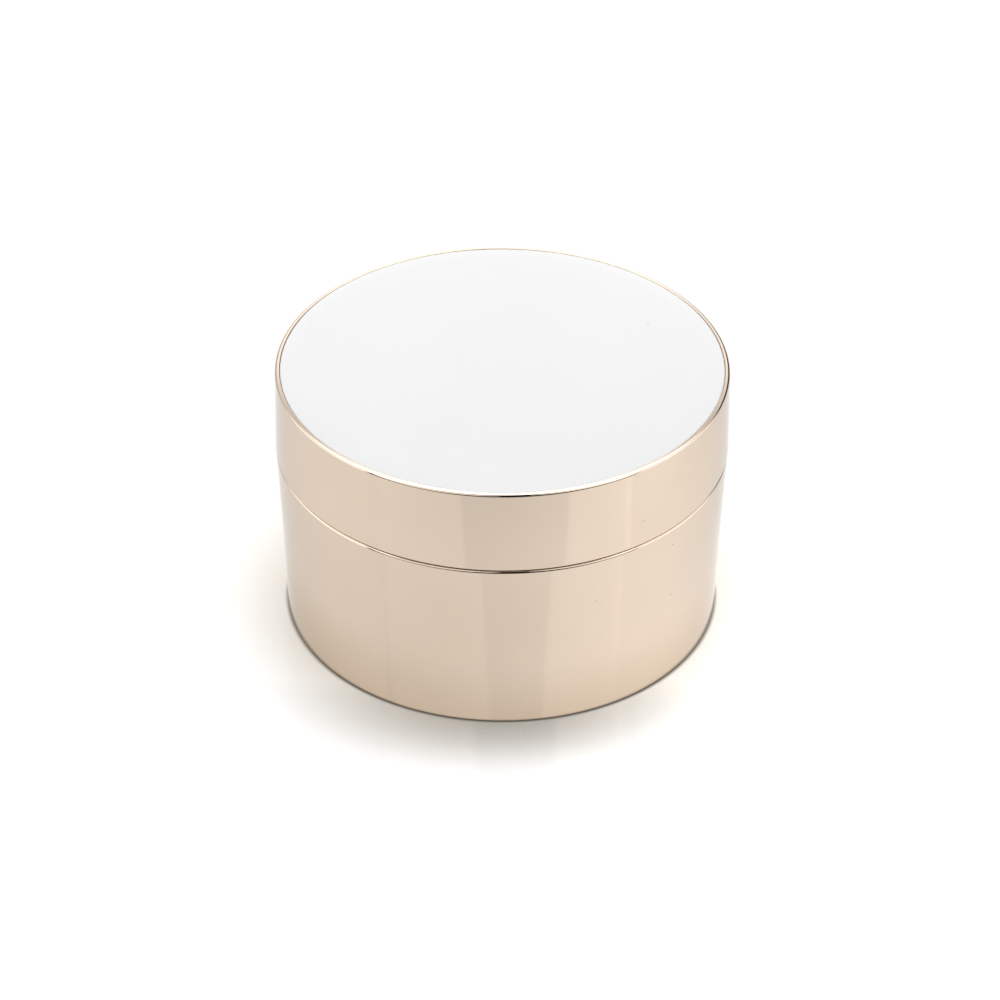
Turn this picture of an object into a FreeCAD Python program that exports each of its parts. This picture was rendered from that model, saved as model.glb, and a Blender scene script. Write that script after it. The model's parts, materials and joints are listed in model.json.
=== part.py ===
import FreeCAD, Part
import math
import os
import re

import Sketcher

# A low, round, double-walled cream jar with a screw lid.
#
# Frame: +Z is up along the jar's axis, and the origin is the centre of the foot,
# on the surface that the jar stands on. Lengths are millimetres, angles degrees.
#
# A metallised outer body holds a plastic cup by its flange. A collar ring covers
# the joint, and a plate closes the body from below. The lid is a metallised
# overcap with a white disc in its top, an inner cap that carries the thread,
# and a sealing liner. The thread has three starts.

SIZES = [
    # outer body
    ("foot_radius", 37.72, "outer radius at the foot"),
    ("body_top_radius", 38.93, "outer radius at the body's upper edge"),
    ("body_height", 32.3, "height of the body's upper edge"),
    ("body_wall", 2.4, "wall between the body's outside and its inside"),
    ("foot_round", 0.45, "radius on the foot's outer edge"),
    ("edge_round", 0.45, "radius on the edges either side of the lid's gap"),
    ("mouth_round", 0.15, "radius on the collar bore's upper edge"),
    ("lead_in", 0.3, "radius on the base plate bore's lower edge"),
    ("collar_bore", 37.3, "bore that takes the cup's flange and the collar"),
    ("flange_seat", 30.3, "height of the step under the cup's flange"),
    ("plate_bore", 35.2, "bore that takes the base plate"),
    ("plate_stop", 2.4, "height of the stop above the base plate"),
    ("stop_bore", 34.2, "inner radius of that stop"),
    ("stop_thick", 1.2, "thickness of that stop"),
    # base plate
    ("plate_thick", 1.4, "thickness of the base plate"),
    ("plate_play", 0.08, "radial play of the base plate in its bore"),
    ("snap_height", 0.2, "height of the plate's snap bead"),
    ("snap_half", 0.35, "half the width of the snap bead's foot"),
    ("prop_radius", 22.0, "outer radius of the ring under the cup's floor"),
    ("prop_wall", 1.2, "wall of that ring"),
    ("dish_radius", 30.0, "radius of the shallow dish in the plate's underside"),
    ("dish_depth", 0.3, "depth of that dish"),
    # cup
    ("cup_floor", 6.0, "height of the cup's floor inside"),
    ("floor_thick", 1.4, "thickness of the cup's floor"),
    ("cup_low_radius", 31.3, "inner radius at the cup's floor"),
    ("cup_mouth", 32.8, "inner radius at the cup's mouth"),
    ("cup_wall", 1.4, "wall of the cup below its flange"),
    ("cup_corner", 5.0, "inner radius between the cup's floor and wall"),
    ("flange_radius", 37.1, "outer radius of the cup's flange"),
    ("flange_thick", 1.1, "thickness of the cup's flange"),
    ("neck_radius", 34.4, "outer radius of the neck between its threads"),
    ("neck_top", 41.55, "height of the cup's rim"),
    ("rim_round", 0.45, "radius on the cup's rim"),
    # collar
    ("collar_play", 0.06, "radial play of the collar in the body"),
    ("collar_inner", 34.6, "inner radius of the collar"),
    ("collar_step", 36.3, "outer radius of the collar's raised step"),
    ("collar_top", 33.35, "height of the collar's raised step"),
    ("collar_wall", 0.95, "wall of the collar's top and skirt"),
    ("collar_round", 0.35, "radius on the collar's raised step"),
    # thread
    ("starts", 3, "number of thread starts"),
    ("lead", 12.0, "rise of the thread in one turn"),
    ("ridge_foot", 1.8, "width of a thread ridge at its foot"),
    ("ridge_crest", 0.9, "width of a thread ridge at its crest"),
    ("ridge_root", 0.3, "depth that a ridge reaches into its wall"),
    ("runout", 0.05, "height left at the end of a ridge's run-out"),
    ("runout_reach", 9.0, "length of the run-out cut over a ridge"),
    ("runout_tail", 2.0, "length of the run-out cut past a ridge's end"),
    ("runout_hollow", 18.0, "radius of the run-out cut inside the cap"),
    ("neck_ridge", 1.0, "height of the neck's ridges"),
    ("neck_ridge_low", 35.4, "height at which the neck's ridges start"),
    ("neck_ridge_arc", 132.0, "angle that one of the neck's ridges covers"),
    ("cap_ridge", 0.95, "height of the cap's ridges"),
    ("cap_ridge_arc", 116.0, "angle that one of the cap's ridges covers"),
    ("cap_ridge_lag", 40.0, "angle from a neck ridge's start to the cap ridge below"),
    ("ridge_drop", 1.45, "axial distance from a neck ridge to the cap ridge below"),
    # overcap
    ("lid_low", 32.45, "height of the lid's lower edge"),
    ("lid_height", 15.05, "height of the overcap"),
    ("lid_low_radius", 39.0, "outer radius at the lid's lower edge"),
    ("lid_top_radius", 38.66, "outer radius at the lid's rim, before rounding"),
    ("lid_wall", 1.3, "wall of the overcap's skirt"),
    ("lid_web", 1.3, "thickness of the overcap's top under the disc"),
    ("lid_rim_round", 0.45, "outer radius on the lid's rim"),
    ("lid_rim_fall", 0.08, "fall of the lid's rim from the disc to its outside"),
    ("lid_inner_round", 0.8, "radius inside the overcap's upper corner"),
    ("recess_radius", 37.85, "radius of the recess for the disc"),
    ("recess_depth", 1.95, "depth of that recess"),
    ("recess_round", 0.1, "radius on the recess's edge"),
    ("bead_low", 0.8, "height of the bead under the inner cap, above the lid's edge"),
    ("bead_wide", 0.7, "width of that bead"),
    ("bead_high", 0.27, "height of that bead"),
    # disc and adhesive
    ("adhesive_thick", 0.15, "thickness of the adhesive under the disc"),
    ("adhesive_radius", 36.9, "radius of the adhesive"),
    ("disc_radius", 37.8, "radius of the disc"),
    ("disc_thick", 1.8, "thickness of the disc"),
    ("disc_flat", 34.8, "radius of the flat middle of the disc"),
    ("disc_drop", 0.06, "fall of the disc's rolled edge"),
    ("disc_round", 0.12, "radius on the disc's outer edge"),
    # inner cap
    ("cap_low", 34.05, "height of the inner cap's lower edge"),
    ("cap_height", 10.2, "height of the inner cap"),
    ("cap_radius", 36.9, "outer radius of the inner cap's skirt"),
    ("cap_bore", 35.7, "inner radius of the inner cap's skirt"),
    ("cap_web", 1.2, "thickness of the inner cap's top"),
    ("cap_foot_radius", 37.55, "outer radius of the inner cap's foot flange"),
    ("cap_foot", 1.0, "thickness of that flange"),
    ("cap_round", 1.0, "radius on the inner cap's upper edge"),
    ("rib_count", 24, "number of ribs around the inner cap"),
    ("rib_radius", 37.3, "outer radius of those ribs"),
    ("rib_wide", 1.0, "width of a rib"),
    ("keeper_radius", 35.2, "inner radius of the bead that keeps the liner"),
    ("keeper_half", 0.25, "half the width of that bead's foot"),
    ("keeper_gap", 0.05, "play between that bead and the liner"),
    # liner
    ("liner_radius", 35.45, "radius of the liner"),
    ("liner_thick", 1.45, "thickness of the liner"),
]

# The document and its sheet of sizes

doc = FreeCAD.newDocument("cream_jar")
sheet = doc.addObject("Spreadsheet::Sheet", "size")
for row, (alias, value, note) in enumerate(SIZES, start=1):
    sheet.set("A%d" % row, alias)
    sheet.set("B%d" % row, str(value))
    sheet.set("C%d" % row, note)
    sheet.setAlias("B%d" % row, alias)
doc.recompute()

SCRATCH_CELL = "D1"


def bound(formula):
    """The formula with each alias pointing at the sheet, for setExpression."""
    return re.sub(r"[a-z_]{2,}", r"size.\g<0>", formula)


def number(formula):
    """The formula's value now."""
    sheet.set(SCRATCH_CELL, "=" + formula)
    sheet.recompute()
    value = float(sheet.get(SCRATCH_CELL))
    sheet.clear(SCRATCH_CELL)
    return value


# Helpers shared by the pieces. A point is a pair of formulas: radius and height.


def new_body(name, height=None, turn=None):
    """A body with its own label, at its own height and turn about the axis."""
    body = doc.addObject("PartDesign::Body", name)
    body.Label = name
    if height:
        body.setExpression(".Placement.Base.z", bound(height))
    if turn:
        body.Placement.Rotation = FreeCAD.Rotation(FreeCAD.Vector(0, 0, 1), 1)
        body.setExpression(".Placement.Rotation.Angle", bound(turn))
    return body


def origin_feature(body, role):
    for feature in body.Origin.OriginFeatures:
        if feature.Role == role:
            return feature
    raise ValueError(role)


def new_sketch(body, name, plane):
    sketch = body.newObject("Sketcher::SketchObject", name)
    sketch.AttachmentSupport = [(origin_feature(body, plane), "")]
    sketch.MapMode = "FlatFace"
    return sketch


def pin_vertex(sketch, edge, formula, kind):
    """Hold the start of an edge at a distance from the sketch's origin."""
    value = number(formula)
    if abs(value) < 1e-9:
        axis = -2 if kind == "DistanceX" else -1
        sketch.addConstraint(Sketcher.Constraint("PointOnObject", edge, 1, axis))
        return
    index = sketch.addConstraint(Sketcher.Constraint(kind, -1, 1, edge, 1, value))
    label = "%s_%d" % (kind, edge)
    sketch.renameConstraint(index, label)
    sketch.setExpression("Constraints." + label, bound(formula))


def draw_outline(sketch, points, bows=None):
    """A closed outline, counterclockwise. A bow turns the edge that starts at
    that point into an arc of the given radius, curved outwards."""
    bows = bows or {}
    spots = [FreeCAD.Vector(number(across), number(up), 0) for across, up in points]
    count = len(spots)
    for index, start in enumerate(spots):
        end = spots[(index + 1) % count]
        if index not in bows:
            sketch.addGeometry(Part.LineSegment(start, end), False)
            continue
        radius = number(bows[index])
        chord = end - start
        outward = FreeCAD.Vector(chord.y, -chord.x, 0).normalize()
        sagitta = radius - math.sqrt(radius ** 2 - (chord.Length / 2) ** 2)
        middle = (start + end) / 2 + outward * sagitta
        sketch.addGeometry(Part.ArcOfCircle(start, middle, end), False)
    for index in range(count):
        after = (index + 1) % count
        sketch.addConstraint(Sketcher.Constraint("Coincident", index, 2, after, 1))
    for index, (across, up) in enumerate(points):
        pin_vertex(sketch, index, across, "DistanceX")
        pin_vertex(sketch, index, up, "DistanceY")
    for index, formula in bows.items():
        held = sketch.addConstraint(Sketcher.Constraint("Radius", index, number(formula)))
        sketch.renameConstraint(held, "bow_%d" % index)
        sketch.setExpression("Constraints.bow_%d" % index, bound(formula))


def turned(body, points, bows=None):
    """The outline, turned right round the axis."""
    sketch = new_sketch(body, body.Name + "_outline", "XZ_Plane")
    draw_outline(sketch, points, bows)
    turning = body.newObject("PartDesign::Revolution", body.Name + "_turned")
    turning.Profile = sketch
    turning.ReferenceAxis = (sketch, ["V_Axis"])
    turning.Angle = 360
    sketch.Visibility = False
    doc.recompute()
    return turning


def ring_edges(shape, rings):
    """Names of the circular edges at the given radii and heights."""
    found = []
    for across, up in rings:
        radius = number(across)
        height = number(up)
        names = [
            "Edge%d" % (index + 1)
            for index, edge in enumerate(shape.Edges)
            if edge.Curve.TypeId == "Part::GeomCircle"
            and abs(edge.Curve.Radius - radius) < 1e-3
            and abs(edge.Curve.Center.z - height) < 1e-3
        ]
        if not names:
            raise ValueError("no edge at radius %s, height %s" % (across, up))
        found.extend(names)
    return found


def rounded(body, name, radius, rings):
    """A fillet on the edges that run round the axis at the given places."""
    base = body.Tip
    fillet = body.newObject("PartDesign::Fillet", body.Name + "_" + name)
    fillet.Base = (base, ring_edges(base.Shape, rings))
    fillet.Radius = number(radius)
    fillet.setExpression("Radius", bound(radius))
    doc.recompute()
    return fillet


def patterned(body, features, count):
    """The features, repeated evenly round the axis."""
    pattern = body.newObject("PartDesign::PolarPattern", body.Name + "_pattern_" + features[0].Name)
    pattern.Originals = features
    pattern.Axis = (origin_feature(body, "Z_Axis"), [""])
    pattern.Angle = 360
    pattern.Occurrences = int(number(count))
    pattern.setExpression("Occurrences", bound(count))
    body.Tip = pattern
    doc.recompute()
    return pattern


def thread_ridge(body, wall, height, low, arc, inward):
    """One ridge of the thread, starting at angle 0 in the body's own frame.
    Its middle starts at height low and climbs along the lead."""
    sign = "-" if inward else "+"
    back = "+" if inward else "-"
    root = "%s %s ridge_root" % (wall, back)
    crest = "%s %s %s" % (wall, sign, height)
    corners = [
        (root, "%s - ridge_foot / 2" % low),
        (wall, "%s - ridge_foot / 2" % low),
        (crest, "%s - ridge_crest / 2" % low),
        (crest, "%s + ridge_crest / 2" % low),
        (wall, "%s + ridge_foot / 2" % low),
        (root, "%s + ridge_foot / 2" % low),
    ]
    if inward:
        corners.reverse()
    sketch = new_sketch(body, body.Name + "_ridge_outline", "XZ_Plane")
    draw_outline(sketch, corners)
    ridge = body.newObject("PartDesign::AdditiveHelix", body.Name + "_ridge")
    ridge.Profile = sketch
    ridge.ReferenceAxis = (sketch, ["V_Axis"])
    ridge.Mode = "pitch-turns-angle"
    ridge.Pitch = number("lead")
    ridge.setExpression("Pitch", bound("lead"))
    ridge.Turns = number(arc + " / 360")
    ridge.setExpression("Turns", bound(arc + " / 360"))
    sketch.Visibility = False
    doc.recompute()
    return ridge


def runout_cut(body, which, angle, middle, wall, height, inward):
    """Lets a ridge run out into its wall at one end, the low or the high one.
    Outside, the cut is a flat that just misses the wall; inside, a larger hollow."""
    name = "%s_runout_%s" % (body.Name, which)
    sketch = new_sketch(body, name + "_outline", "XY_Plane")
    sketch.AttachmentOffset.Rotation = FreeCAD.Rotation(FreeCAD.Vector(0, 0, 1), 1)
    sketch.setExpression(".AttachmentOffset.Base.z", bound(middle + " + ridge_foot"))
    sketch.setExpression(".AttachmentOffset.Rotation.Angle", bound(angle))
    if inward:
        centre = "%s - runout - runout_hollow" % wall
        sketch.addGeometry(Part.Circle(), False)
        sketch.addConstraint(Sketcher.Constraint("PointOnObject", 0, 3, -1))
        place = sketch.addConstraint(Sketcher.Constraint("DistanceX", -1, 1, 0, 3, number(centre)))
        size = sketch.addConstraint(Sketcher.Constraint("Radius", 0, number("runout_hollow")))
        sketch.setExpression("Constraints[%d]" % place, bound(centre))
        sketch.setExpression("Constraints[%d]" % size, bound("runout_hollow"))
    else:
        near = "%s + runout" % wall
        far = "%s + 2 * %s" % (wall, height)
        behind, ahead = ("runout_tail", "runout_reach")
        if which == "high":
            behind, ahead = (ahead, behind)
        behind = "0 - " + behind
        draw_outline(sketch, [(near, behind), (far, behind), (far, ahead), (near, ahead)])
    cut = body.newObject("PartDesign::Pocket", name)
    cut.Profile = sketch
    cut.Length = number("2 * ridge_foot")
    cut.setExpression("Length", bound("2 * ridge_foot"))
    sketch.Visibility = False
    doc.recompute()
    return cut


def threaded(body, wall, height, low, arc, inward):
    """All the starts of a thread on a wall of the body."""
    smooth = body.Shape.Volume
    ridge = thread_ridge(body, wall, height, low, arc, inward)
    full = body.Shape.Volume
    high = "%s + lead * %s / 360" % (low, arc)
    ends = [
        runout_cut(body, "low", "0", low, wall, height, inward),
        runout_cut(body, "high", arc, high, wall, height, inward),
    ]
    eased = body.Shape.Volume
    if not smooth < eased < full:
        raise ValueError("the run-out cuts miss the ridge of " + body.Name)
    patterned(body, [ridge] + ends, "starts")


# Heights and radii that follow from the sheet

PLATE_LOW = "(plate_stop - plate_thick)"
STOP_TOP = "(plate_stop + stop_thick)"
BODY_LEAN = "(body_top_radius - foot_radius) / body_height"
CUP_UNDER = "(cup_floor - floor_thick)"
CUP_LEAN = "(cup_mouth - cup_low_radius) / (neck_top - cup_floor)"
FLANGE_TOP = "(flange_seat + flange_thick)"
RIM_EDGE = "(lid_height - lid_rim_fall)"
RECESS_FLOOR = "(lid_height - recess_depth)"
WEB_UNDER = "(lid_height - recess_depth - lid_web)"
LID_LEAN = "(lid_low_radius - lid_top_radius) / lid_height"
LID_BORE = "(lid_low_radius - lid_wall)"
CAP_CEILING = "(cap_height - cap_web)"
CAP_RIDGE_LOW = "(neck_ridge_low + lead * cap_ridge_lag / 360 - ridge_drop - cap_low)"


# The jar


def make_jar_shell():
    """Metallised outer body: a tapered tube with a stepped mouth, and inside its
    foot a stop and a snap groove for the base plate."""
    body = new_body("jar_shell")
    groove = "plate_stop - plate_thick / 2"
    turned(body, [
        ("plate_bore", "0"),
        ("foot_radius", "0"),
        ("body_top_radius", "body_height"),
        ("collar_bore", "body_height"),
        ("collar_bore", "flange_seat"),
        ("foot_radius + %s * flange_seat - body_wall" % BODY_LEAN, "flange_seat"),
        ("foot_radius + %s * %s - body_wall" % (BODY_LEAN, STOP_TOP), STOP_TOP),
        ("stop_bore", STOP_TOP),
        ("stop_bore", "plate_stop"),
        ("plate_bore", "plate_stop"),
        ("plate_bore", groove + " + snap_half"),
        ("plate_bore + snap_height", groove),
        ("plate_bore", groove + " - snap_half"),
    ])
    rounded(body, "foot", "foot_round", [("foot_radius", "0")])
    rounded(body, "edge", "edge_round", [("body_top_radius", "body_height")])
    rounded(body, "mouth", "mouth_round", [("collar_bore", "body_height")])
    rounded(body, "lead_in", "lead_in", [("plate_bore", "0")])
    return body


def make_base_plate():
    """Plate with a snap bead, a shallow dish below, and a ring that props the cup."""
    body = new_body("base_plate", PLATE_LOW)
    rim = "plate_bore - plate_play"
    middle = "plate_thick / 2"
    ring_top = "%s - %s" % (CUP_UNDER, PLATE_LOW)
    turned(body, [
        ("0", "dish_depth"),
        ("dish_radius", "dish_depth"),
        ("dish_radius", "0"),
        (rim, "0"),
        (rim, middle + " - snap_half"),
        (rim + " + snap_height", middle),
        (rim, middle + " + snap_half"),
        (rim, "plate_thick"),
        ("prop_radius", "plate_thick"),
        ("prop_radius", ring_top),
        ("prop_radius - prop_wall", ring_top),
        ("prop_radius - prop_wall", "plate_thick"),
        ("0", "plate_thick"),
    ])
    rounded(body, "rim", "mouth_round", [(rim, "0")])
    return body


def make_inner_cup():
    """The cup for the cream, with its hanging flange and threaded neck."""
    body = new_body("inner_cup")
    low_outside = "cup_low_radius + cup_wall"
    seat_outside = "cup_low_radius + %s * (flange_seat - cup_floor) + cup_wall" % CUP_LEAN
    turned(body, [
        ("0", CUP_UNDER),
        (low_outside, CUP_UNDER),
        (seat_outside, "flange_seat"),
        ("flange_radius", "flange_seat"),
        ("flange_radius", FLANGE_TOP),
        ("neck_radius", FLANGE_TOP),
        ("neck_radius", "neck_top"),
        ("cup_mouth", "neck_top"),
        ("cup_low_radius", "cup_floor"),
        ("0", "cup_floor"),
    ])
    rounded(body, "inner_corner", "cup_corner", [("cup_low_radius", "cup_floor")])
    rounded(body, "outer_corner", "cup_corner + floor_thick", [(low_outside, CUP_UNDER)])
    rim = [("neck_radius", "neck_top"), ("cup_mouth", "neck_top")]
    rounded(body, "rim", "rim_round", rim)
    threaded(body, "neck_radius", "neck_ridge", "neck_ridge_low", "neck_ridge_arc", False)
    return body


def make_collar_ring():
    """Stepped shoulder ring that covers the cup's flange."""
    body = new_body("collar_ring", FLANGE_TOP)
    skirt_bore = "collar_step - collar_wall"
    step_top = "collar_top - %s" % FLANGE_TOP
    land = "body_height - %s" % FLANGE_TOP
    turned(body, [
        (skirt_bore, "0"),
        ("collar_bore - collar_play", "0"),
        ("collar_bore - collar_play", land),
        ("collar_step", land),
        ("collar_step", step_top),
        ("collar_inner", step_top),
        ("collar_inner", step_top + " - collar_wall"),
        (skirt_bore, step_top + " - collar_wall"),
    ])
    rounded(body, "step", "collar_round", [("collar_step", step_top)])
    tips = [("collar_inner", step_top), ("collar_bore - collar_play", land)]
    rounded(body, "tips", "mouth_round", tips)
    return body


# The lid


def make_lid_shell():
    """Metallised overcap: a rounded rim round the disc's recess, and inside the
    skirt a bead that holds the inner cap."""
    body = new_body("lid_shell", "lid_low")
    bead_top = "bead_low + bead_wide"
    turned(body, [
        (LID_BORE, "0"),
        ("lid_low_radius", "0"),
        ("lid_top_radius", RIM_EDGE),
        ("recess_radius", "lid_height"),
        ("recess_radius", RECESS_FLOOR),
        ("0", RECESS_FLOOR),
        ("0", WEB_UNDER),
        ("%s - %s * %s" % (LID_BORE, LID_LEAN, WEB_UNDER), WEB_UNDER),
        ("%s - %s * (%s)" % (LID_BORE, LID_LEAN, bead_top), bead_top),
        (LID_BORE + " - bead_high", "bead_low + bead_wide / 2"),
        ("%s - %s * bead_low" % (LID_BORE, LID_LEAN), "bead_low"),
    ])
    rounded(body, "rim", "lid_rim_round", [("lid_top_radius", RIM_EDGE)])
    rounded(body, "recess", "recess_round", [("recess_radius", "lid_height")])
    rounded(body, "lower_edge", "edge_round", [("lid_low_radius", "0"), (LID_BORE, "0")])
    corner = ("%s - %s * %s" % (LID_BORE, LID_LEAN, WEB_UNDER), WEB_UNDER)
    rounded(body, "corner", "lid_inner_round", [corner])
    return body


def make_disc_adhesive():
    """Thin round of adhesive on the recess's floor."""
    layer = doc.addObject("Part::Cylinder", "disc_adhesive")
    layer.Label = "disc_adhesive"
    layer.setExpression("Radius", bound("adhesive_radius"))
    layer.setExpression("Height", bound("adhesive_thick"))
    layer.setExpression(".Placement.Base.z", bound("lid_low + " + RECESS_FLOOR))
    doc.recompute()
    return layer


def make_lid_top_disc():
    """White disc, flat in the middle and rolled off gently towards its edge."""
    body = new_body("lid_top_disc", "lid_low + %s + adhesive_thick" % RECESS_FLOOR)
    edge = "disc_thick - disc_drop"
    roll = "((disc_radius - disc_flat) ^ 2 + disc_drop ^ 2) / (2 * disc_drop)"
    turned(body, [
        ("0", "0"),
        ("disc_radius", "0"),
        ("disc_radius", edge),
        ("disc_flat", "disc_thick"),
        ("0", "disc_thick"),
    ], bows={2: roll})
    rounded(body, "edges", "disc_round", [("disc_radius", edge), ("disc_radius", "0")])
    return body


def make_lid_inner_cap():
    """Inner cap with ribs outside, the thread inside, and a bead for the liner."""
    body = new_body("lid_inner_cap", "cap_low", turn="cap_ridge_lag")
    keeper = "neck_top - keeper_gap - keeper_half - cap_low"
    turned(body, [
        ("cap_bore", "0"),
        ("cap_foot_radius", "0"),
        ("cap_foot_radius", "cap_foot"),
        ("cap_radius", "cap_foot"),
        ("cap_radius", "cap_height"),
        ("0", "cap_height"),
        ("0", CAP_CEILING),
        ("cap_bore", CAP_CEILING),
        ("cap_bore", keeper + " + keeper_half"),
        ("keeper_radius", keeper),
        ("cap_bore", keeper + " - keeper_half"),
    ])
    rounded(body, "crown", "cap_round", [("cap_radius", "cap_height")])
    threaded(body, "cap_bore", "cap_ridge", CAP_RIDGE_LOW, "cap_ridge_arc", True)
    rib = rib_pad(body)
    patterned(body, [rib], "rib_count")
    return body


def rib_pad(body):
    """One upright rib on the inner cap's skirt."""
    sketch = new_sketch(body, "rib_outline", "XY_Plane")
    sketch.setExpression(".AttachmentOffset.Base.z", bound("cap_foot"))
    near = "(cap_radius + cap_bore) / 2"
    half = "rib_wide / 2"
    draw_outline(sketch, [
        (near, "0 - " + half),
        ("rib_radius", "0 - " + half),
        ("rib_radius", half),
        (near, half),
    ])
    rib = body.newObject("PartDesign::Pad", "rib")
    rib.Profile = sketch
    rib.Length = number(CAP_CEILING + " - cap_foot")
    rib.setExpression("Length", bound(CAP_CEILING + " - cap_foot"))
    sketch.Visibility = False
    doc.recompute()
    return rib


def make_lid_liner():
    """Soft round wad that seals on the cup's rim."""
    wad = doc.addObject("Part::Cylinder", "lid_liner")
    wad.Label = "lid_liner"
    wad.setExpression("Radius", bound("liner_radius"))
    wad.setExpression("Height", bound("liner_thick"))
    wad.setExpression(".Placement.Base.z", bound("neck_top"))
    doc.recompute()
    return wad


pieces = [
    make_jar_shell(),
    make_base_plate(),
    make_inner_cup(),
    make_collar_ring(),
    make_lid_shell(),
    make_disc_adhesive(),
    make_lid_top_disc(),
    make_lid_inner_cap(),
    make_lid_liner(),
]
doc.recompute()

# Nothing is written unless every object and every piece is sound

for thing in doc.Objects:
    if "Invalid" in thing.State or "Error" in thing.State:
        raise RuntimeError("%s is %s" % (thing.Label, thing.State))
for piece in pieces:
    shape = piece.Shape
    if shape.isNull() or not shape.isValid() or len(shape.Solids) != 1:
        raise RuntimeError(piece.Label + " is not one valid solid")

os.makedirs("parts", exist_ok=True)
for piece in pieces:
    piece.Shape.exportStep(os.path.join("parts", piece.Label + ".step"))
    print("%-14s %9.1f mm3" % (piece.Label, piece.Shape.Volume))
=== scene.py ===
"""A low double-walled cream jar: pale champagne-gold metallised shells, a glossy
white disc in the lid, and inside it the threaded cup, inner cap and liner.

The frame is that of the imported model, in metres: +Z up, the origin at the centre
of the foot. Outlines are in millimetres, as (radius, height, rounding), and
turned() makes them metres.
"""

import json
import math

import bpy
import numpy as np
from mathutils import Matrix, Vector


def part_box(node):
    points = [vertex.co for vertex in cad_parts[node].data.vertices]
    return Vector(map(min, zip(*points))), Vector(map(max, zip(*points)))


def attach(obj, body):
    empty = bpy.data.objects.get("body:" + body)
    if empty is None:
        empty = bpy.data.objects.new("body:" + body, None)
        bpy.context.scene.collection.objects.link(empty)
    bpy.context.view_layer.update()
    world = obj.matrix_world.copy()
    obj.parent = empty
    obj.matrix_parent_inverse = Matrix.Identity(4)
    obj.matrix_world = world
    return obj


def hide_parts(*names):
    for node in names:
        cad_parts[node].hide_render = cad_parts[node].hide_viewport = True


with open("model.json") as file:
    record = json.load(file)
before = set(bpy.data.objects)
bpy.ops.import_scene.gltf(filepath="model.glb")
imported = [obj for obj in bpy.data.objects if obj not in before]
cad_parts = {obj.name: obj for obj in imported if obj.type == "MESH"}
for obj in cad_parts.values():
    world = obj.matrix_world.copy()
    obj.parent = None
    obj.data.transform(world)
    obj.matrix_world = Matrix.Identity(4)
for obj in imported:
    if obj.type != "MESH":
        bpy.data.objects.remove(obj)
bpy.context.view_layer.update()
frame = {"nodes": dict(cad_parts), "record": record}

MM = 0.001

# Camera: where it looks, from how far and how high
AIM_ABOVE_FOOT = 19.3
AIM_SIDEWAYS = -0.3
CAMERA_DISTANCE = 636.6
CAMERA_ELEVATION = math.radians(35.25)
CAMERA_ROLL = math.radians(0.28)
CAMERA_LENS = 131.4
CAMERA_SENSOR = 36.0

# How finely the turned pieces are cut, in millimetres where it is a length
SHELL_SEGMENTS = 256
THREAD_SEGMENTS = 576
ARC_STEPS = 10
ROW_SPACING = 3.0
THREAD_ROW_SPACING = 0.14
HAIR_ROUND = 0.04

BODY_OF = {
    node: body
    for body, nodes in frame["record"]["behaviour"]["bodies"].items()
    for node in nodes
}


def extents(node):
    """Outer radius, lowest point and highest point of a node, in millimetres."""
    low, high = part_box(node)
    return high.x / MM, low.z / MM, high.z / MM


# Outlines and turned meshes. An outline runs counterclockwise, so that its
# right-hand side is the outside of the piece.


def rounded_outline(corners, closed):
    """Points (radius, height, normal across, normal up) along the outline, with
    each corner rounded to its own radius."""
    count = len(corners)
    points = []
    for index, (across, up, radius) in enumerate(corners):
        here = np.array([across, up])
        if not closed and index in (0, count - 1):
            run = np.array(corners[1][:2]) - here
            if index:
                run = here - np.array(corners[-2][:2])
            run = run / np.linalg.norm(run)
            points.append((across, up, run[1], -run[0]))
            continue
        before = np.array(corners[index - 1][:2]) - here
        after = np.array(corners[(index + 1) % count][:2]) - here
        before = before / np.linalg.norm(before)
        after = after / np.linalg.norm(after)
        turn = math.pi - math.acos(max(-1.0, min(1.0, float(before @ after))))
        reach = radius * math.tan(turn / 2)
        first_normal = np.array([-before[1], before[0]])
        side = 1.0 if float(first_normal @ after) < 0 else -1.0
        centre = here + before * reach - side * first_normal * radius
        steps = max(3, int(round(ARC_STEPS * turn / (math.pi / 2))))
        for step in range(steps + 1):
            bend = side * turn * step / steps
            normal = np.array([
                math.cos(bend) * first_normal[0] - math.sin(bend) * first_normal[1],
                math.sin(bend) * first_normal[0] + math.cos(bend) * first_normal[1],
            ])
            spot = centre + side * normal * radius
            points.append((spot[0], spot[1], normal[0], normal[1]))
    return points


def divided(points, closed, fine_radius=None):
    """The outline with its long straight runs divided into rows, more finely
    along a wall of the given radius."""
    ends = points[1:] + points[:1] if closed else points[1:]
    dense = []
    for start, end in zip(points, ends):
        dense.append(start)
        spacing = ROW_SPACING
        if fine_radius and max(abs(p[0] - fine_radius) for p in (start, end)) < 0.05:
            spacing = THREAD_ROW_SPACING
        rows = int(math.ceil(math.dist(start[:2], end[:2]) / spacing))
        for row in range(1, rows):
            share = row / rows
            dense.append(tuple(a + (b - a) * share for a, b in zip(start, end)))
    if not closed:
        dense.append(points[-1])
    return dense


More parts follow.
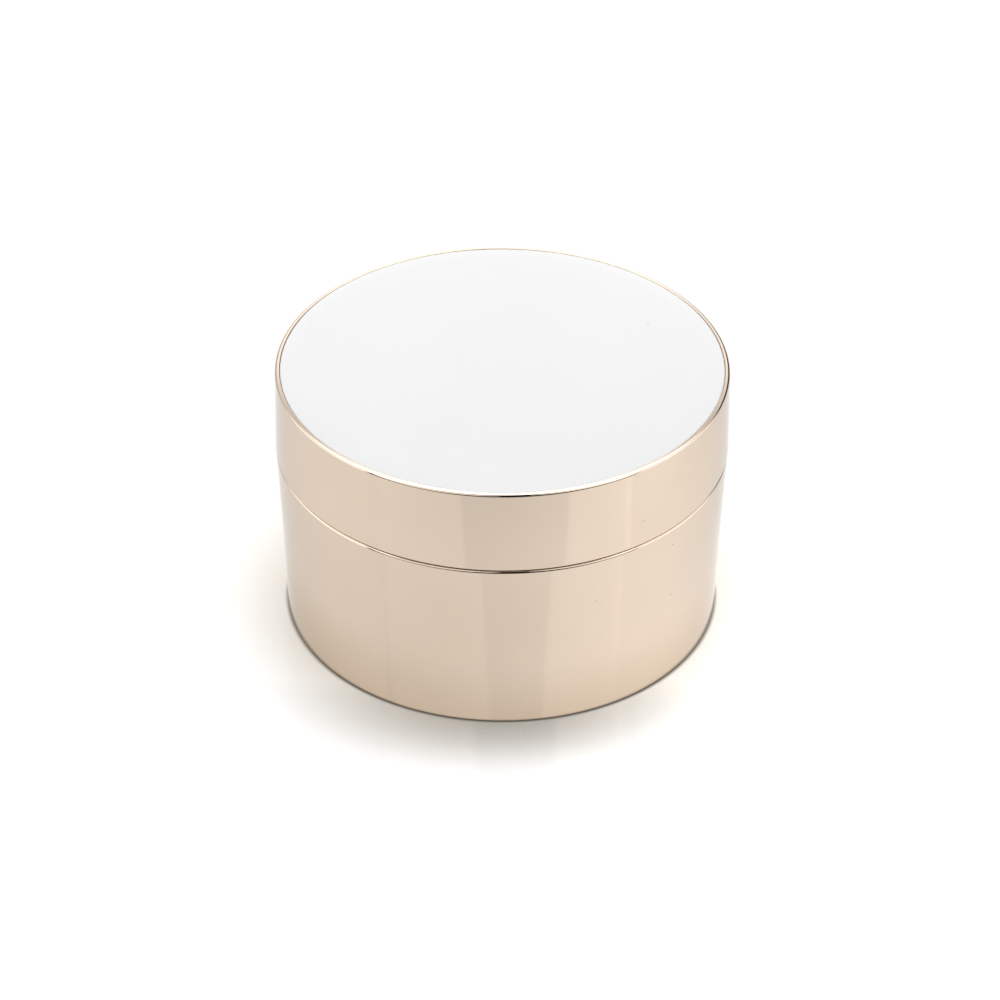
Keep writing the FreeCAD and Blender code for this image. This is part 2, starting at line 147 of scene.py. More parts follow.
def turned(name, corners, closed=False, angles=None, relief=None, fine_radius=None):
    """A mesh turned round the axis from an outline. A relief moves each point in
    or out by relief(radius, angles, height) and makes threads and ribs."""
    if angles is None:
        angles = np.linspace(0, 2 * math.pi, SHELL_SEGMENTS, endpoint=False)
    points = divided(rounded_outline(corners, closed), closed, fine_radius)
    segments = len(angles)
    vertices, normals, rows = [], [], []
    for across, up, normal_across, normal_up in points:
        start = len(vertices)
        if across < 1e-6:
            vertices.append((0.0, 0.0, up * MM))
            normals.append((0.0, 0.0, math.copysign(1.0, normal_up)))
            rows.append([start] * segments)
            continue
        radii = np.full(segments, across)
        slope_round = np.zeros(segments)
        slope_up = np.zeros(segments)
        if relief:
            turn_nudge, up_nudge = 0.001, 0.02
            radii = radii + relief(across, angles, up)
            ahead = relief(across, angles + turn_nudge, up)
            behind = relief(across, angles - turn_nudge, up)
            above = relief(across, angles, up + up_nudge)
            below = relief(across, angles, up - up_nudge)
            slope_round = (ahead - behind) / (2 * turn_nudge)
            slope_up = (above - below) / (2 * up_nudge)
        side = -slope_round / radii * normal_across
        lift = normal_up - slope_up * normal_across
        length = np.sqrt(normal_across ** 2 + side ** 2 + lift ** 2)
        out, side, lift = normal_across / length, side / length, lift / length
        cosine, sine = np.cos(angles), np.sin(angles)
        spots = np.stack([radii * cosine, radii * sine, np.full(segments, up)], 1)
        facing = np.stack([out * cosine - side * sine, out * sine + side * cosine, lift], 1)
        vertices.extend(map(tuple, (spots * MM).tolist()))
        normals.extend(map(tuple, facing.tolist()))
        rows.append(list(range(start, start + segments)))
    faces = []
    for index in range(len(rows) if closed else len(rows) - 1):
        low, high = rows[index], rows[(index + 1) % len(rows)]
        for spot in range(segments):
            after = (spot + 1) % segments
            corner = [low[spot], low[after], high[after], high[spot]]
            face = [v for at, v in enumerate(corner) if v != corner[at - 1]]
            faces.append(face)
    mesh = bpy.data.meshes.new(name)
    mesh.from_pydata(vertices, [], faces)
    mesh.shade_smooth()
    mesh.normals_split_custom_set_from_vertices(normals)
    piece = bpy.data.objects.new(name, mesh)
    bpy.context.scene.collection.objects.link(piece)
    return piece


def place(piece, node, material):
    """The piece stands for a node, moves with its body and takes its finish."""
    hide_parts(node)
    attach(piece, BODY_OF[node])
    piece.data.materials.append(material)


# Threads and ribs


THREAD_STARTS = 3
THREAD_LEAD = 12.0
RIDGE_FOOT = 1.8
RIDGE_CREST = 0.9
RIDGE_RUNOUT = 8.0


def eased(share):
    """A share from 0 to 1 with soft ends."""
    share = np.clip(share, 0, 1)
    return share * share * (3 - 2 * share)


def thread_height(angles, up, radius, first_turn, first_height, arc, height):
    """Height of a thread's ridges over the wall at that radius."""
    total = np.zeros_like(angles)
    for start in range(THREAD_STARTS):
        along = (angles - first_turn - 2 * math.pi * start / THREAD_STARTS) % (2 * math.pi)
        middle = first_height + THREAD_LEAD * along / (2 * math.pi)
        flank = (RIDGE_FOOT / 2 - np.abs(up - middle)) / ((RIDGE_FOOT - RIDGE_CREST) / 2)
        run = np.minimum(along, arc - along) * radius / RIDGE_RUNOUT
        total = np.maximum(total, height * eased(flank) * eased(run))
    return total


# Materials. Patterns are fixed to each piece, and their sizes are millimetres.


def new_finish(name, sockets):
    """A material, its node tree and its shader with the sockets' values set."""
    material = bpy.data.materials.new(name)
    material.use_nodes = True
    tree = material.node_tree
    shader = tree.nodes["Principled BSDF"]
    for socket, value in sockets.items():
        shader.inputs[socket].default_value = value
    return material, tree, shader


def noise(tree, size, detail=3.0, stretch=(1, 1, 1)):
    """Noise whose features are about that size."""
    where = tree.nodes.new("ShaderNodeTexCoord")
    scaled = tree.nodes.new("ShaderNodeMapping")
    scaled.inputs["Scale"].default_value = [s / (size * MM) for s in stretch]
    field = tree.nodes.new("ShaderNodeTexNoise")
    field.inputs["Scale"].default_value = 1.0
    field.inputs["Detail"].default_value = detail
    tree.links.new(where.outputs["Object"], scaled.inputs["Vector"])
    tree.links.new(scaled.outputs["Vector"], field.inputs["Vector"])
    return field.outputs["Fac"]


def ranged(tree, value, low, high, from_low=0.3, from_high=0.7):
    """The value carried over from one range to another, and held inside it."""
    node = tree.nodes.new("ShaderNodeMapRange")
    node.inputs["From Min"].default_value = from_low
    node.inputs["From Max"].default_value = from_high
    node.inputs["To Min"].default_value = low
    node.inputs["To Max"].default_value = high
    tree.links.new(value, node.inputs["Value"])
    return node.outputs["Result"]


def combined(tree, operation, first, second):
    """The result of a Math node on two values, either of which may be a number."""
    node = tree.nodes.new("ShaderNodeMath")
    node.operation = operation
    for socket, value in zip(node.inputs, (first, second)):
        if isinstance(value, float):
            socket.default_value = value
        else:
            tree.links.new(value, socket)
    return node.outputs["Value"]


def specks(tree, spacing, size, share):
    """Small spots, in a share of the cells of a pattern with that spacing."""
    where = tree.nodes.new("ShaderNodeTexCoord")
    cells = tree.nodes.new("ShaderNodeTexVoronoi")
    cells.inputs["Scale"].default_value = 1 / (spacing * MM)
    tree.links.new(where.outputs["Object"], cells.inputs["Vector"])
    parts = tree.nodes.new("ShaderNodeSeparateColor")
    tree.links.new(cells.outputs["Color"], parts.inputs["Color"])
    reach = size / spacing
    spot = ranged(tree, cells.outputs["Distance"], 1, 0, 0.6 * reach, reach)
    chosen = ranged(tree, parts.outputs["Red"], 0, 1, 1 - share, 1.002 - share)
    return combined(tree, "MULTIPLY", spot, chosen)


def blended(tree, share, first, second):
    """A colour between two others, or between a socket's and another."""
    node = tree.nodes.new("ShaderNodeMix")
    node.data_type = "RGBA"
    tree.links.new(share, node.inputs["Factor"])
    for socket, colour in zip((node.inputs[6], node.inputs[7]), (first, second)):
        if isinstance(colour, tuple):
            socket.default_value = colour + (1.0,)
        else:
            tree.links.new(colour, socket)
    return node.outputs[2]


def bumped(tree, height, depth, beneath=None):
    """The normal of a surface that the height moves by depth millimetres."""
    node = tree.nodes.new("ShaderNodeBump")
    node.inputs["Distance"].default_value = depth * MM
    tree.links.new(height, node.inputs["Height"])
    if beneath:
        tree.links.new(beneath, node.inputs["Normal"])
    return node.outputs["Normal"]


GOLD_TONES = ((0.620, 0.511, 0.411), (0.640, 0.532, 0.433))
GOLD_EDGE_TINT = (0.85, 0.85, 0.85, 1)
GOLD_SPECK = (0.30, 0.22, 0.15)
GOLD_HAZE = (0.022, 0.05)
DISC_TONES = ((0.740, 0.741, 0.742), (0.760, 0.761, 0.762))
DISC_SPECK = (0.50, 0.49, 0.47)


def gold_finish(name, speck_share):
    """Vacuum-metallised plastic: nearly a mirror, with faint moulding waves, an
    uneven haze and dust specks in its lacquer."""
    material, tree, shader = new_finish(name, {
        "Metallic": 1.0,
        "Specular Tint": GOLD_EDGE_TINT,
    })
    dust = specks(tree, 2.6, 0.16, speck_share)
    tone = blended(tree, ranged(tree, noise(tree, 22.0, 2.0), 0, 1), *GOLD_TONES)
    colour = blended(tree, dust, tone, GOLD_SPECK)
    tree.links.new(colour, shader.inputs["Base Color"])
    haze = ranged(tree, noise(tree, 9.0, 4.0), *GOLD_HAZE)
    haze = combined(tree, "ADD", haze, ranged(tree, dust, 0, 0.3, 0, 1))
    tree.links.new(haze, shader.inputs["Roughness"])
    waves = bumped(tree, noise(tree, 14.0, 1.0), 0.006)
    grain = bumped(tree, noise(tree, 0.9, 2.0), 0.0004, waves)
    tree.links.new(bumped(tree, dust, 0.01, grain), shader.inputs["Normal"])
    return material


def disc_finish():
    """Cast white acrylic: glossy, with hairline wear and a few dust specks."""
    material, tree, shader = new_finish("white_acrylic", {"IOR": 1.49})
    tone = ranged(tree, noise(tree, 30.0, 2.0), 0, 1)
    clean = blended(tree, tone, *DISC_TONES)
    dust = specks(tree, 4.2, 0.26, 0.10)
    colour = blended(tree, dust, clean, DISC_SPECK)
    tree.links.new(colour, shader.inputs["Base Color"])
    wear = noise(tree, 3.0, 5.0, stretch=(1, 14, 1))
    other_wear = noise(tree, 3.5, 5.0, stretch=(11, 1, 1))
    hairs = combined(tree, "MAXIMUM", wear, other_wear)
    tree.links.new(ranged(tree, hairs, 0.045, 0.16, 0.45, 0.80), shader.inputs["Roughness"])
    waves = bumped(tree, noise(tree, 18.0, 1.0), 0.004)
    scratched = bumped(tree, ranged(tree, hairs, 0, 1, 0.66, 0.72), 0.0006, waves)
    tree.links.new(bumped(tree, dust, 0.02, scratched), shader.inputs["Normal"])
    return material


def moulding_finish(name, dark, light, roughness, grain_size, grain_depth):
    """Moulded white polypropylene: satin, slightly translucent, finely grained."""
    material, tree, shader = new_finish(name, {
        "IOR": 1.5,
        "Subsurface Weight": 0.12,
        "Subsurface Radius": (1.0, 0.9, 0.75),
        "Subsurface Scale": 0.8 * MM,
    })
    cloud = noise(tree, 12.0, 3.0)
    tree.links.new(blended(tree, ranged(tree, cloud, 0, 1), dark, light),
                   shader.inputs["Base Color"])
    sheen = ranged(tree, noise(tree, 5.0, 4.0), roughness - 0.06, roughness + 0.06)
    tree.links.new(sheen, shader.inputs["Roughness"])
    flow = bumped(tree, noise(tree, 9.0, 2.0), 0.008)
    tree.links.new(bumped(tree, noise(tree, grain_size, 3.0), grain_depth, flow),
                   shader.inputs["Normal"])
    return material


def foam_finish():
    """Closed-cell polyethylene foam with its fine open pores."""
    material, tree, shader = new_finish("liner_foam", {
        "IOR": 1.45,
        "Specular IOR Level": 0.25,
    })
    pores = specks(tree, 0.42, 0.20, 0.8)
    tone = blended(tree, ranged(tree, noise(tree, 6.0, 4.0), 0, 1),
                   (0.78, 0.78, 0.76), (0.86, 0.86, 0.845))
    # The pores are painted darker, as shade inside them
    tree.links.new(blended(tree, pores, tone, (0.60, 0.60, 0.58)),
                   shader.inputs["Base Color"])
    tree.links.new(ranged(tree, noise(tree, 1.5, 3.0), 0.62, 0.85),
                   shader.inputs["Roughness"])
    cells = bumped(tree, noise(tree, 0.30, 4.0), 0.03)
    sunk = bumped(tree, combined(tree, "SUBTRACT", 1.0, pores), 0.05, cells)
    tree.links.new(sunk, shader.inputs["Normal"])
    return material


def adhesive_finish():
    """Milky transfer adhesive with small trapped bubbles."""
    material, tree, shader = new_finish("adhesive_film", {"IOR": 1.47})
    bubbles = specks(tree, 1.6, 0.5, 0.4)
    film = ranged(tree, noise(tree, 7.0, 3.0), 0, 1)
    tone = blended(tree, film, (0.62, 0.60, 0.55), (0.72, 0.70, 0.66))
    tree.links.new(blended(tree, bubbles, tone, (0.50, 0.47, 0.42)),
                   shader.inputs["Base Color"])
    tree.links.new(ranged(tree, film, 0.3, 0.5, 0, 1), shader.inputs["Roughness"])
    tree.links.new(bumped(tree, bubbles, 0.03), shader.inputs["Normal"])
    return material


# The jar

FOOT_RADIUS = 37.72
BODY_WALL = 2.4
EDGE_ROUND = 0.45
LID_RIM_RADIUS = 38.66
LID_RIM_FALL = 0.08
RECESS_RADIUS = 37.85
RECESS_DEPTH = 1.95
COLLAR_BORE = 37.3
FLANGE_SEAT = 30.3
PLATE_BORE = 35.2
PLATE_STOP = 2.4
NECK_RADIUS = 34.4
NECK_RIDGE = 1.0
CAP_BORE = 35.7
CAP_RADIUS = 36.9
CAP_RIDGE = 0.95


def make_jar_shell(material):
    radius, low, high = extents("jar_shell")
    lean = (radius - FOOT_RADIUS) / (high - low)
    inside = FOOT_RADIUS - BODY_WALL
    stop_top = PLATE_STOP + 1.2
    groove = PLATE_STOP - 0.7
    shell = turned("jar_shell_visual", [
        (PLATE_BORE, low, 0.3),
        (FOOT_RADIUS, low, EDGE_ROUND),
        (radius, high, EDGE_ROUND),
        (COLLAR_BORE, high, 0.15),
        (COLLAR_BORE, FLANGE_SEAT, HAIR_ROUND),
        (inside + lean * FLANGE_SEAT, FLANGE_SEAT, HAIR_ROUND),
        (inside + lean * stop_top, stop_top, HAIR_ROUND),
        (PLATE_BORE - 1.0, stop_top, HAIR_ROUND),
        (PLATE_BORE - 1.0, PLATE_STOP, HAIR_ROUND),
        (PLATE_BORE, PLATE_STOP, HAIR_ROUND),
        (PLATE_BORE, groove + 0.35, HAIR_ROUND),
        (PLATE_BORE + 0.2, groove, 0.1),
        (PLATE_BORE, groove - 0.35, HAIR_ROUND),
    ], closed=True)
    place(shell, "jar_shell", material)


def make_base_plate(material):
    radius, low, high = extents("base_plate")
    rim = PLATE_BORE - 0.08
    top = PLATE_STOP
    dish = low + 0.3
    plate = turned("base_plate_visual", [
        (0, dish, 0),
        (0.55, dish, 0.15),
        (0.8, dish + 0.25, 0.1),
        (2.2, dish + 0.25, 0.15),
        (2.6, dish, 0.2),
        (30.0, dish, 0.1),
        (30.25, low, 0.12),
        (rim, low, 0.15),
        (rim, top - 1.05, HAIR_ROUND),
        (radius, top - 0.7, 0.1),
        (rim, top - 0.35, HAIR_ROUND),
        (rim, top, HAIR_ROUND),
        (22.0, top, 0.2),
        (22.0, high, 0.15),
        (20.8, high, 0.15),
        (20.8, top, 0.2),
        (0, top, 0),
    ])
    place(plate, "base_plate", material)


def neck_relief(across, angles, up):
    """The neck's thread."""
    if abs(across - NECK_RADIUS) > 0.05:
        return np.zeros_like(angles)
    return thread_height(angles, up, NECK_RADIUS, 0.0, 35.4, math.radians(132), NECK_RIDGE)


def make_inner_cup(material):
    radius, low, high = extents("inner_cup")
    floor = low + 1.4
    floor_radius, mouth_radius = 31.3, 32.8
    lean = (mouth_radius - floor_radius) / (high - floor)
    flange_top = FLANGE_SEAT + 1.1
    cup = turned("inner_cup_visual", [
        (0, low, 0),
        (floor_radius + 1.4, low, 6.4),
        (floor_radius + 1.4 + lean * (FLANGE_SEAT - floor), FLANGE_SEAT, 0.3),
        (radius, FLANGE_SEAT, 0.1),
        (radius, flange_top, 0.1),
        (NECK_RADIUS, flange_top, 0.25),
        (NECK_RADIUS, high, 0.45),
        (mouth_radius, high, 0.45),
        (floor_radius, floor, 5.0),
        (4.5, floor, 6.0),
        (3.2, floor + 0.12, 6.0),
        (0, floor + 0.12, 0),
    ],
        angles=np.linspace(0, 2 * math.pi, THREAD_SEGMENTS, endpoint=False),
        relief=neck_relief, fine_radius=NECK_RADIUS)
    place(cup, "inner_cup", material)


def make_collar_ring(material):
    radius, low, high = extents("collar_ring")
    land = extents("jar_shell")[2]
    step = 36.3
    ring = turned("collar_ring_visual", [
        (step - 0.95, low, HAIR_ROUND),
        (radius, low, HAIR_ROUND),
        (radius, land, 0.15),
        (step, land, 0.12),
        (step, high, 0.35),
        (34.6, high, 0.15),
        (34.6, high - 0.95, HAIR_ROUND),
        (step - 0.95, high - 0.95, HAIR_ROUND),
    ], closed=True)
    place(ring, "collar_ring", material)


def make_lid_shell(material):
    """The overcap. Its rim falls slightly outwards from the recess to the wall."""
    radius, low, high = extents("lid_shell")
    lean = (radius - LID_RIM_RADIUS) / (high - low)
    bore = radius - 1.3
    recess_floor = high - RECESS_DEPTH
    web_under = recess_floor - 1.3
    shell = turned("lid_shell_visual", [
        (0, web_under, 0),
        (bore - lean * (web_under - low), web_under, 0.8),
        (bore - lean * 1.5, low + 1.5, 0.1),
        (bore - 0.27, low + 1.15, 0.12),
        (bore - lean * 0.8, low + 0.8, 0.05),
        (bore, low, EDGE_ROUND),
        (radius, low, EDGE_ROUND),
        (LID_RIM_RADIUS, high - LID_RIM_FALL, EDGE_ROUND),
        (RECESS_RADIUS, high, 0.1),
        (RECESS_RADIUS, recess_floor, HAIR_ROUND),
        (0, recess_floor, 0),
    ])
    place(shell, "lid_shell", material)


def make_lid_disc(material):
    """The disc, flat in the middle and rolled off slightly towards its edge."""
    radius, low, high = extents("lid_top_disc")
    disc = turned("lid_top_disc_visual", [
        (0, low, 0),
        (radius, low, 0.12),
        (radius, high - 0.06, 0.12),
        (radius - 1.5, high, 70.0),
        (0, high, 0),
    ])
    place(disc, "lid_top_disc", material)


RIB_COUNT = 24
RIB_HEIGHT = 0.4
RIB_PITCH = 2 * math.pi / RIB_COUNT


CAP_EXTENTS = extents("lid_inner_cap")


def cap_relief(across, angles, up):
    """The cap's thread inside and its upright ribs outside."""
    low = CAP_EXTENTS[1]
    if abs(across - CAP_BORE) < 0.05:
        return -thread_height(angles, up, CAP_BORE, math.radians(40), 35.283,
                              math.radians(116), CAP_RIDGE)
    if abs(across - CAP_RADIUS) < 0.05:
        off = (angles + RIB_PITCH / 2) % RIB_PITCH - RIB_PITCH / 2
        flank = (0.55 - np.abs(off) * CAP_RADIUS) / 0.2
        ends = min(up - low - 0.9, low + 9.1 - up) / 0.5
        return RIB_HEIGHT * eased(flank) * eased(ends)
    return np.zeros_like(angles)


def cap_angles():
    """Angles round the cap, closer together at each rib's flanks."""
    reach = 0.8 / CAP_RADIUS
    near = np.linspace(-reach, reach, 15)
    far = np.linspace(reach, RIB_PITCH - reach, 17)[1:-1]
    pitch = np.concatenate([near, far])
    return np.concatenate([pitch + RIB_PITCH * rib for rib in range(RIB_COUNT)])


def make_inner_cap(material):
    radius, low, high = CAP_EXTENTS
    ceiling = high - 1.2
    keeper = low + 7.2
    cap = turned("lid_inner_cap_visual", [
        (0, ceiling, 0),
        (CAP_BORE, ceiling, 0.3),
        (CAP_BORE, keeper + 0.25, HAIR_ROUND),
        (CAP_BORE - 0.5, keeper, 0.1),
        (CAP_BORE, keeper - 0.25, HAIR_ROUND),
        (CAP_BORE, low, 0.25),
        (radius, low, 0.2),
        (radius, low + 1.0, 0.15),
        (CAP_RADIUS, low + 1.0, HAIR_ROUND),
        (CAP_RADIUS, high, 1.0),
        (0, high, 0),
    ], angles=cap_angles(), relief=cap_relief, fine_radius=CAP_BORE)
    place(cap, "lid_inner_cap", material)


def make_liner(material):
    """The wad, with the soft mark that the cup's rim has pressed into it."""
    radius, low, high = extents("lid_liner")
    mark = 0.09
    liner = turned("lid_liner_visual", [
        (0, low, 0),
        (32.95, low, 0.3),
        (33.25, low + mark, 0.3),
        (33.95, low + mark, 0.3),
        (34.25, low, 0.3),
        (radius, low, 0.25),
        (radius, high, 0.15),
        (0, high, 0),
    ])
    place(liner, "lid_liner", material)


make_jar_shell(gold_finish("gold_body", 0.035))
make_collar_ring(gold_finish("gold_collar", 0.02))
make_lid_shell(gold_finish("gold_lid", 0.03))
make_base_plate(moulding_finish(
    "white_base", (0.74, 0.74, 0.73), (0.80, 0.80, 0.79), 0.52, 0.35, 0.012))
make_inner_cup(moulding_finish(
    "white_cup", (0.79, 0.79, 0.775), (0.84, 0.84, 0.825), 0.34, 0.8, 0.002))
make_inner_cap(moulding_finish(
    "white_cap", (0.78, 0.78, 0.765), (0.83, 0.83, 0.815), 0.38, 0.8, 0.003))
make_lid_disc(disc_finish())
make_liner(foam_finish())

adhesive = frame["nodes"]["disc_adhesive"]
adhesive.data.materials.clear()
adhesive.data.materials.append(adhesive_finish())


# Stage

# The floor sheet, in metres where it is a length. Near the jar its colour and glow
# are tinted warm as painted light bounced from the gold, over the distances from the axis in
# WARM_RING.
FLOOR_RADIUS = 3.0
FLOOR_DROP = 0.01 * MM
FLOOR_WHITE = (0.68, 0.68, 0.68)
FLOOR_WARM = (0.68, 0.665, 0.63)
GLOW_WHITE = (1.0, 1.0, 1.0)
GLOW_WARM = (1.0, 0.97, 0.92)
WARM_RING = (0.040, 0.050)

# The painted contact shadow: its colour, how near the jar has to be, how deep it is at
# the sides and back against the front, and the Y over which that changes. Under
# the foot's edge a painted dark ring of shade fades in and out again.
FLOOR_CONTACT = (0.34, 0.32, 0.28)
CONTACT_REACH = 0.015
CONTACT_AT_SIDES = 0.2
CONTACT_FRONT = (-0.044, -0.026)
FOOT_SHADE_RING_INNER = (0.0366, 0.0373)
FOOT_SHADE_RING_OUTER = (0.0377, 0.0385)

# The even light that falls on everything that isn't a mirror
AMBIENT = 0.5

# What the gold mirrors: a dark room before the jar, in a sector that the spread
# narrows, and behind it light that changes with height. Directions are the
# parts of a unit vector: across, away from the camera, and up.
FRONT_DARK = 0.015
FRONT_SPREAD = 0.47
FRONT_BLUR = 0.03
BACK_PEAK = 3.2
BACK_STEPS = ((0.49, 2.0), (0.53, 1.7), (0.566, 1.15), (0.606, 0.9), (0.64, 0.9), (0.75, 3.2))

# Low dark screens behind the jar: how far aside they begin and end, how high
# they reach, each with its blur, and how dark the left and right ones are
SCREEN_NEAR = 0.20
SCREEN_NEAR_BLUR = 0.12
SCREEN_FAR = 0.82
SCREEN_FAR_BLUR = 0.1
SCREEN_HIGH = 0.51
SCREEN_HIGH_BLUR = 0.07
SCREEN_LEFT = 0.6
SCREEN_RIGHT = 0.97
SCREEN_SIDE_BLUR = 0.1

# Round softboxes either side of the camera: centre, radius and power
SOFTBOXES = {
    "softbox_left": ((-0.50, -0.50, 0.645), 0.495, 3.3),
    "softbox_right": ((0.66, -0.50, 0.70), 0.515, 4.2),
}

# Overhead fill that the gold doesn't mirror: centre, radius and power
FILLS = {
    "fill_top": ((0.03, 0.12, 1.10), 0.2, 4.7),
}

# Painted light on the floor sheet: an even glow, with soft painted pools of light and one
# pool of painted shade that takes light away before the jar: centre, reach and strength
FLOOR_GLOW = 0.23
GLOWS = (
    ((0.085, -0.04), 0.15, 0.33),
    ((-0.09, -0.02), 0.16, 0.16),
    ((0.025, -0.02), 0.06, 0.15),
    ((0, 0), 0.06, 0.3),
    ((0, -0.02), 0.08, -0.17),
)


def distance_from(tree, centre):
    """Distance of a point of the floor from a centre on it, in metres."""
    where = tree.nodes.new("ShaderNodeTexCoord")
    away = tree.nodes.new("ShaderNodeVectorMath")
    away.operation = "DISTANCE"
    away.inputs[1].default_value = centre + (0,)
    tree.links.new(where.outputs["Object"], away.inputs[0])
    return away.outputs["Value"]


def contact_shade(tree):
    """How deep in the jar's painted contact shadow a point of the floor is. Only the camera
    sees the soft painted shadow, which is deepest before the jar. The gold mirrors the
    painted dark ring of shade under the foot's edge too. Inside that ring the floor stays
    light, and lights the underside."""
    hidden = tree.nodes.new("ShaderNodeAmbientOcclusion")
    hidden.samples = 8
    hidden.inputs["Distance"].default_value = CONTACT_REACH
    shade = ranged(tree, hidden.outputs["AO"], 1, 0, 0.5, 1)
    where = tree.nodes.new("ShaderNodeTexCoord")
    parts = tree.nodes.new("ShaderNodeSeparateXYZ")
    tree.links.new(where.outputs["Object"], parts.inputs["Vector"])
    shade = combined(tree, "MULTIPLY", shade, ranged(
        tree, parts.outputs["Y"], 1, CONTACT_AT_SIDES, *CONTACT_FRONT))
    path = tree.nodes.new("ShaderNodeLightPath")
    shade = combined(tree, "MULTIPLY", shade, path.outputs["Is Camera Ray"])
    # A painted dark ring of shade under the foot's edge, which every ray sees
    away = distance_from(tree, (0, 0))
    foot_shade_ring = combined(tree, "MULTIPLY", ranged(tree, away, 0, 1, *FOOT_SHADE_RING_INNER),
                       ranged(tree, away, 1, 0, *FOOT_SHADE_RING_OUTER))
    return combined(tree, "MAXIMUM", shade, foot_shade_ring)


def floor_finish():
    """Glossy white sheet with painted light: tinted warm beside the jar as painted light from
    the gold, darkened by a painted shadow where the jar touches it, and glowing in painted
    pools of light. Seen from below it lets the jar's underside show."""
    material, tree, shader = new_finish("floor_gloss", {"IOR": 1.49})
    tree.links.new(ranged(tree, noise(tree, 60.0, 2.0), 0.07, 0.10),
                   shader.inputs["Roughness"])
    shade = contact_shade(tree)
    # Painted warm light from the gold, near the jar
    near = ranged(tree, distance_from(tree, (0, 0)), 1, 0, *WARM_RING)
    sheet = blended(tree, near, FLOOR_WHITE, FLOOR_WARM)
    tree.links.new(blended(tree, shade, sheet, FLOOR_CONTACT), shader.inputs["Base Color"])
    # The glow is tinted warm near the jar too, as painted light from the gold
    tree.links.new(blended(tree, near, GLOW_WHITE, GLOW_WARM),
                   shader.inputs["Emission Color"])
    glow = FLOOR_GLOW
    # Each pool paints light into the floor's glow, or painted shade where its strength is
    # negative
    for centre, reach, strength in GLOWS:
        pool = ranged(tree, distance_from(tree, centre), strength, 0, 0, reach)
        pool.node.interpolation_type = "SMOOTHSTEP"
        glow = combined(tree, "ADD", glow, pool)
    # The painted contact shadow dims the floor's glow as well
    glow = combined(tree, "MULTIPLY", glow, ranged(tree, shade, 1, 0, 0, 1))
    tree.links.new(glow, shader.inputs["Emission Strength"])
    clear = tree.nodes.new("ShaderNodeBsdfTransparent")
    side = tree.nodes.new("ShaderNodeNewGeometry")
    mix = tree.nodes.new("ShaderNodeMixShader")
    tree.links.new(side.outputs["Backfacing"], mix.inputs["Fac"])
    tree.links.new(shader.outputs["BSDF"], mix.inputs[1])
    tree.links.new(clear.outputs["BSDF"], mix.inputs[2])
    output = tree.nodes["Material Output"]
    tree.links.new(mix.outputs["Shader"], output.inputs["Surface"])
    return material


def make_floor():
    """A round sheet just under the jar's foot."""
    turns = np.linspace(0, 2 * math.pi, 96, endpoint=False)
    rim = [(FLOOR_RADIUS * math.cos(t), FLOOR_RADIUS * math.sin(t), 0.0) for t in turns]
    mesh = bpy.data.meshes.new("floor")
    mesh.from_pydata(rim, [], [list(range(len(rim)))])
    mesh.materials.append(floor_finish())
    floor = bpy.data.objects.new("floor", mesh)
    bpy.context.scene.collection.objects.link(floor)
    floor.location.z = -FLOOR_DROP


def make_light(name, centre, radius, power, facing):
    """A round light that shines the way it faces."""
    light = bpy.data.lights.new(name, "AREA")
    light.shape = "DISK"
    light.size = 2 * radius
    light.energy = power
    lamp = bpy.data.objects.new(name, light)
    lamp.location = centre
    lamp.rotation_euler = Vector(facing).to_track_quat("-Z", "Y").to_euler()
    lamp.visible_camera = False
    bpy.context.scene.collection.objects.link(lamp)
    return lamp


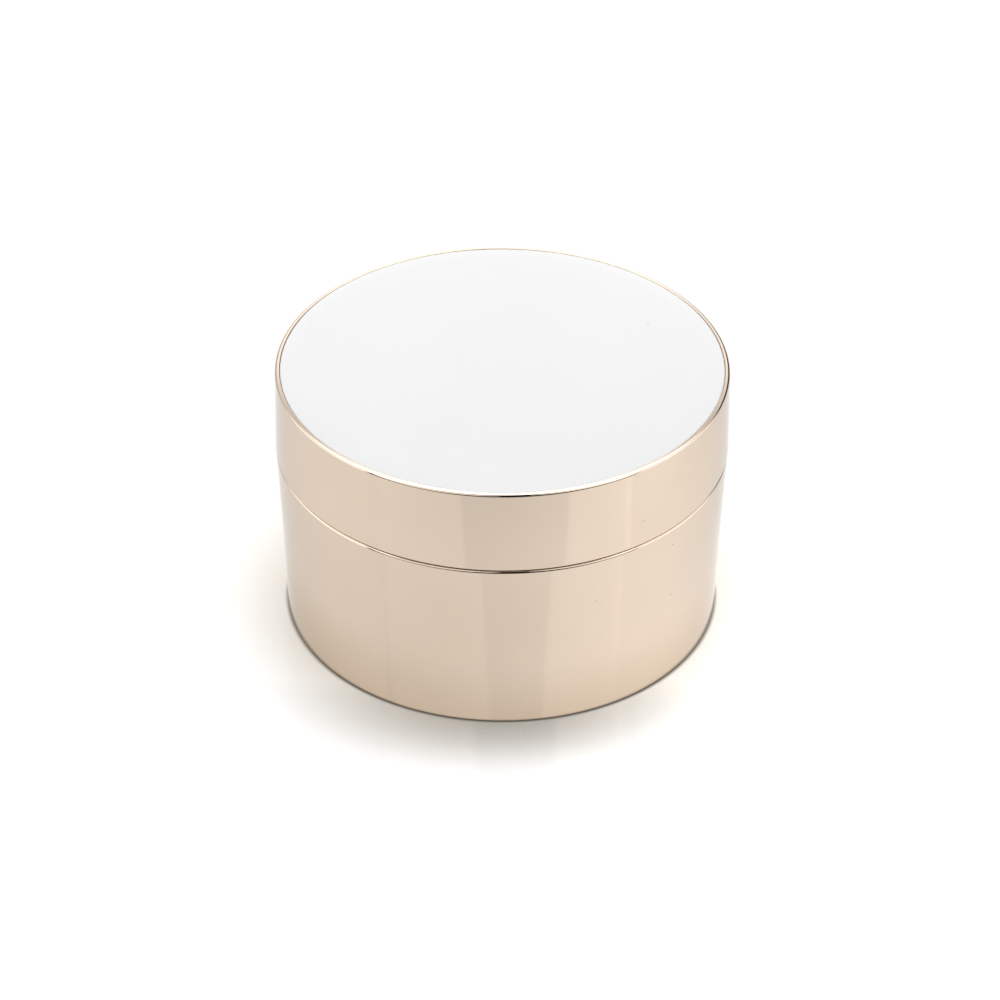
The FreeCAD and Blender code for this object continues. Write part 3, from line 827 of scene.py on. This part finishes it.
def make_surroundings():
    """The world that surfaces mirror: light behind the jar that changes with
    height, low dark screens in it either side, and a dark room before the jar.
    Diffuse light is even all round, and the camera sees white past the floor."""
    world = bpy.data.worlds.new("studio")
    bpy.context.scene.world = world
    world.use_nodes = True
    tree = world.node_tree
    where = tree.nodes.new("ShaderNodeTexCoord")
    parts = tree.nodes.new("ShaderNodeSeparateXYZ")
    tree.links.new(where.outputs["Generated"], parts.inputs["Vector"])
    across, ahead, up = parts.outputs
    aside = combined(tree, "ABSOLUTE", across, 0.0)

    steps = tree.nodes.new("ShaderNodeValToRGB")
    stops = steps.color_ramp.elements
    while len(stops) < len(BACK_STEPS):
        stops.new(0.5)
    for stop, (height, strength) in zip(stops, BACK_STEPS):
        stop.position = height
        stop.color = [strength / BACK_PEAK] * 3 + [1]
    tree.links.new(up, steps.inputs["Fac"])
    back = combined(tree, "MULTIPLY", steps.outputs["Color"], BACK_PEAK)

    screen = ranged(tree, aside, 0, 1, SCREEN_NEAR - SCREEN_NEAR_BLUR,
                    SCREEN_NEAR + SCREEN_NEAR_BLUR)
    screen = combined(tree, "MULTIPLY", screen, ranged(
        tree, aside, 1, 0, SCREEN_FAR, SCREEN_FAR + SCREEN_FAR_BLUR))
    screen = combined(tree, "MULTIPLY", screen, ranged(
        tree, up, 1, 0, SCREEN_HIGH - SCREEN_HIGH_BLUR, SCREEN_HIGH + SCREEN_HIGH_BLUR))
    screen = combined(tree, "MULTIPLY", screen, ranged(
        tree, across, SCREEN_LEFT, SCREEN_RIGHT, -SCREEN_SIDE_BLUR, SCREEN_SIDE_BLUR))
    back = combined(tree, "MULTIPLY", back, ranged(tree, screen, 1, 0, 0, 1))

    behind = combined(tree, "MULTIPLY", aside, FRONT_SPREAD)
    behind = combined(tree, "ADD", behind, ahead)
    behind = ranged(tree, behind, 0, 1, -FRONT_BLUR, FRONT_BLUR)
    mirrored = combined(tree, "MAXIMUM", combined(tree, "MULTIPLY", back, behind), FRONT_DARK)

    path = tree.nodes.new("ShaderNodeLightPath")
    glossy = ranged(tree, path.outputs["Is Diffuse Ray"], 1, 0, 0, 1)
    glossy = combined(tree, "MULTIPLY", mirrored, glossy)
    diffuse = combined(tree, "MULTIPLY", path.outputs["Is Diffuse Ray"], AMBIENT)
    lit = combined(tree, "ADD", glossy, diffuse)
    seen = combined(tree, "MAXIMUM", lit, path.outputs["Is Camera Ray"])
    tree.links.new(seen, tree.nodes["Background"].inputs["Strength"])
    world.cycles.sampling_method = "NONE"
    tree.nodes["Background"].inputs["Color"].default_value = (1, 1, 1, 1)


def make_camera():
    """A camera before the jar, at the photograph's height and lens."""
    camera = bpy.data.cameras.new("camera")
    camera.lens = CAMERA_LENS
    camera.sensor_width = CAMERA_SENSOR
    viewer = bpy.data.objects.new("camera", camera)
    bpy.context.scene.collection.objects.link(viewer)
    back = Vector((0, -math.cos(CAMERA_ELEVATION), math.sin(CAMERA_ELEVATION)))
    aim = Vector((AIM_SIDEWAYS, 0, AIM_ABOVE_FOOT)) * MM
    turn = (-back).to_track_quat("-Z", "Y").to_matrix().to_4x4()
    roll = Matrix.Rotation(CAMERA_ROLL, 4, "Z")
    viewer.matrix_world = Matrix.Translation(aim + back * CAMERA_DISTANCE * MM) @ turn @ roll
    bpy.context.scene.camera = viewer


make_floor()
for name, (centre, radius, power) in SOFTBOXES.items():
    make_light(name, centre, radius, power, facing=(0, 1, 0))
for name, (centre, radius, power) in FILLS.items():
    fill = make_light(name, centre, radius, power, facing=[-c for c in centre])
    fill.visible_glossy = False
make_surroundings()
make_camera()
bpy.context.scene.view_settings.view_transform = "Standard"
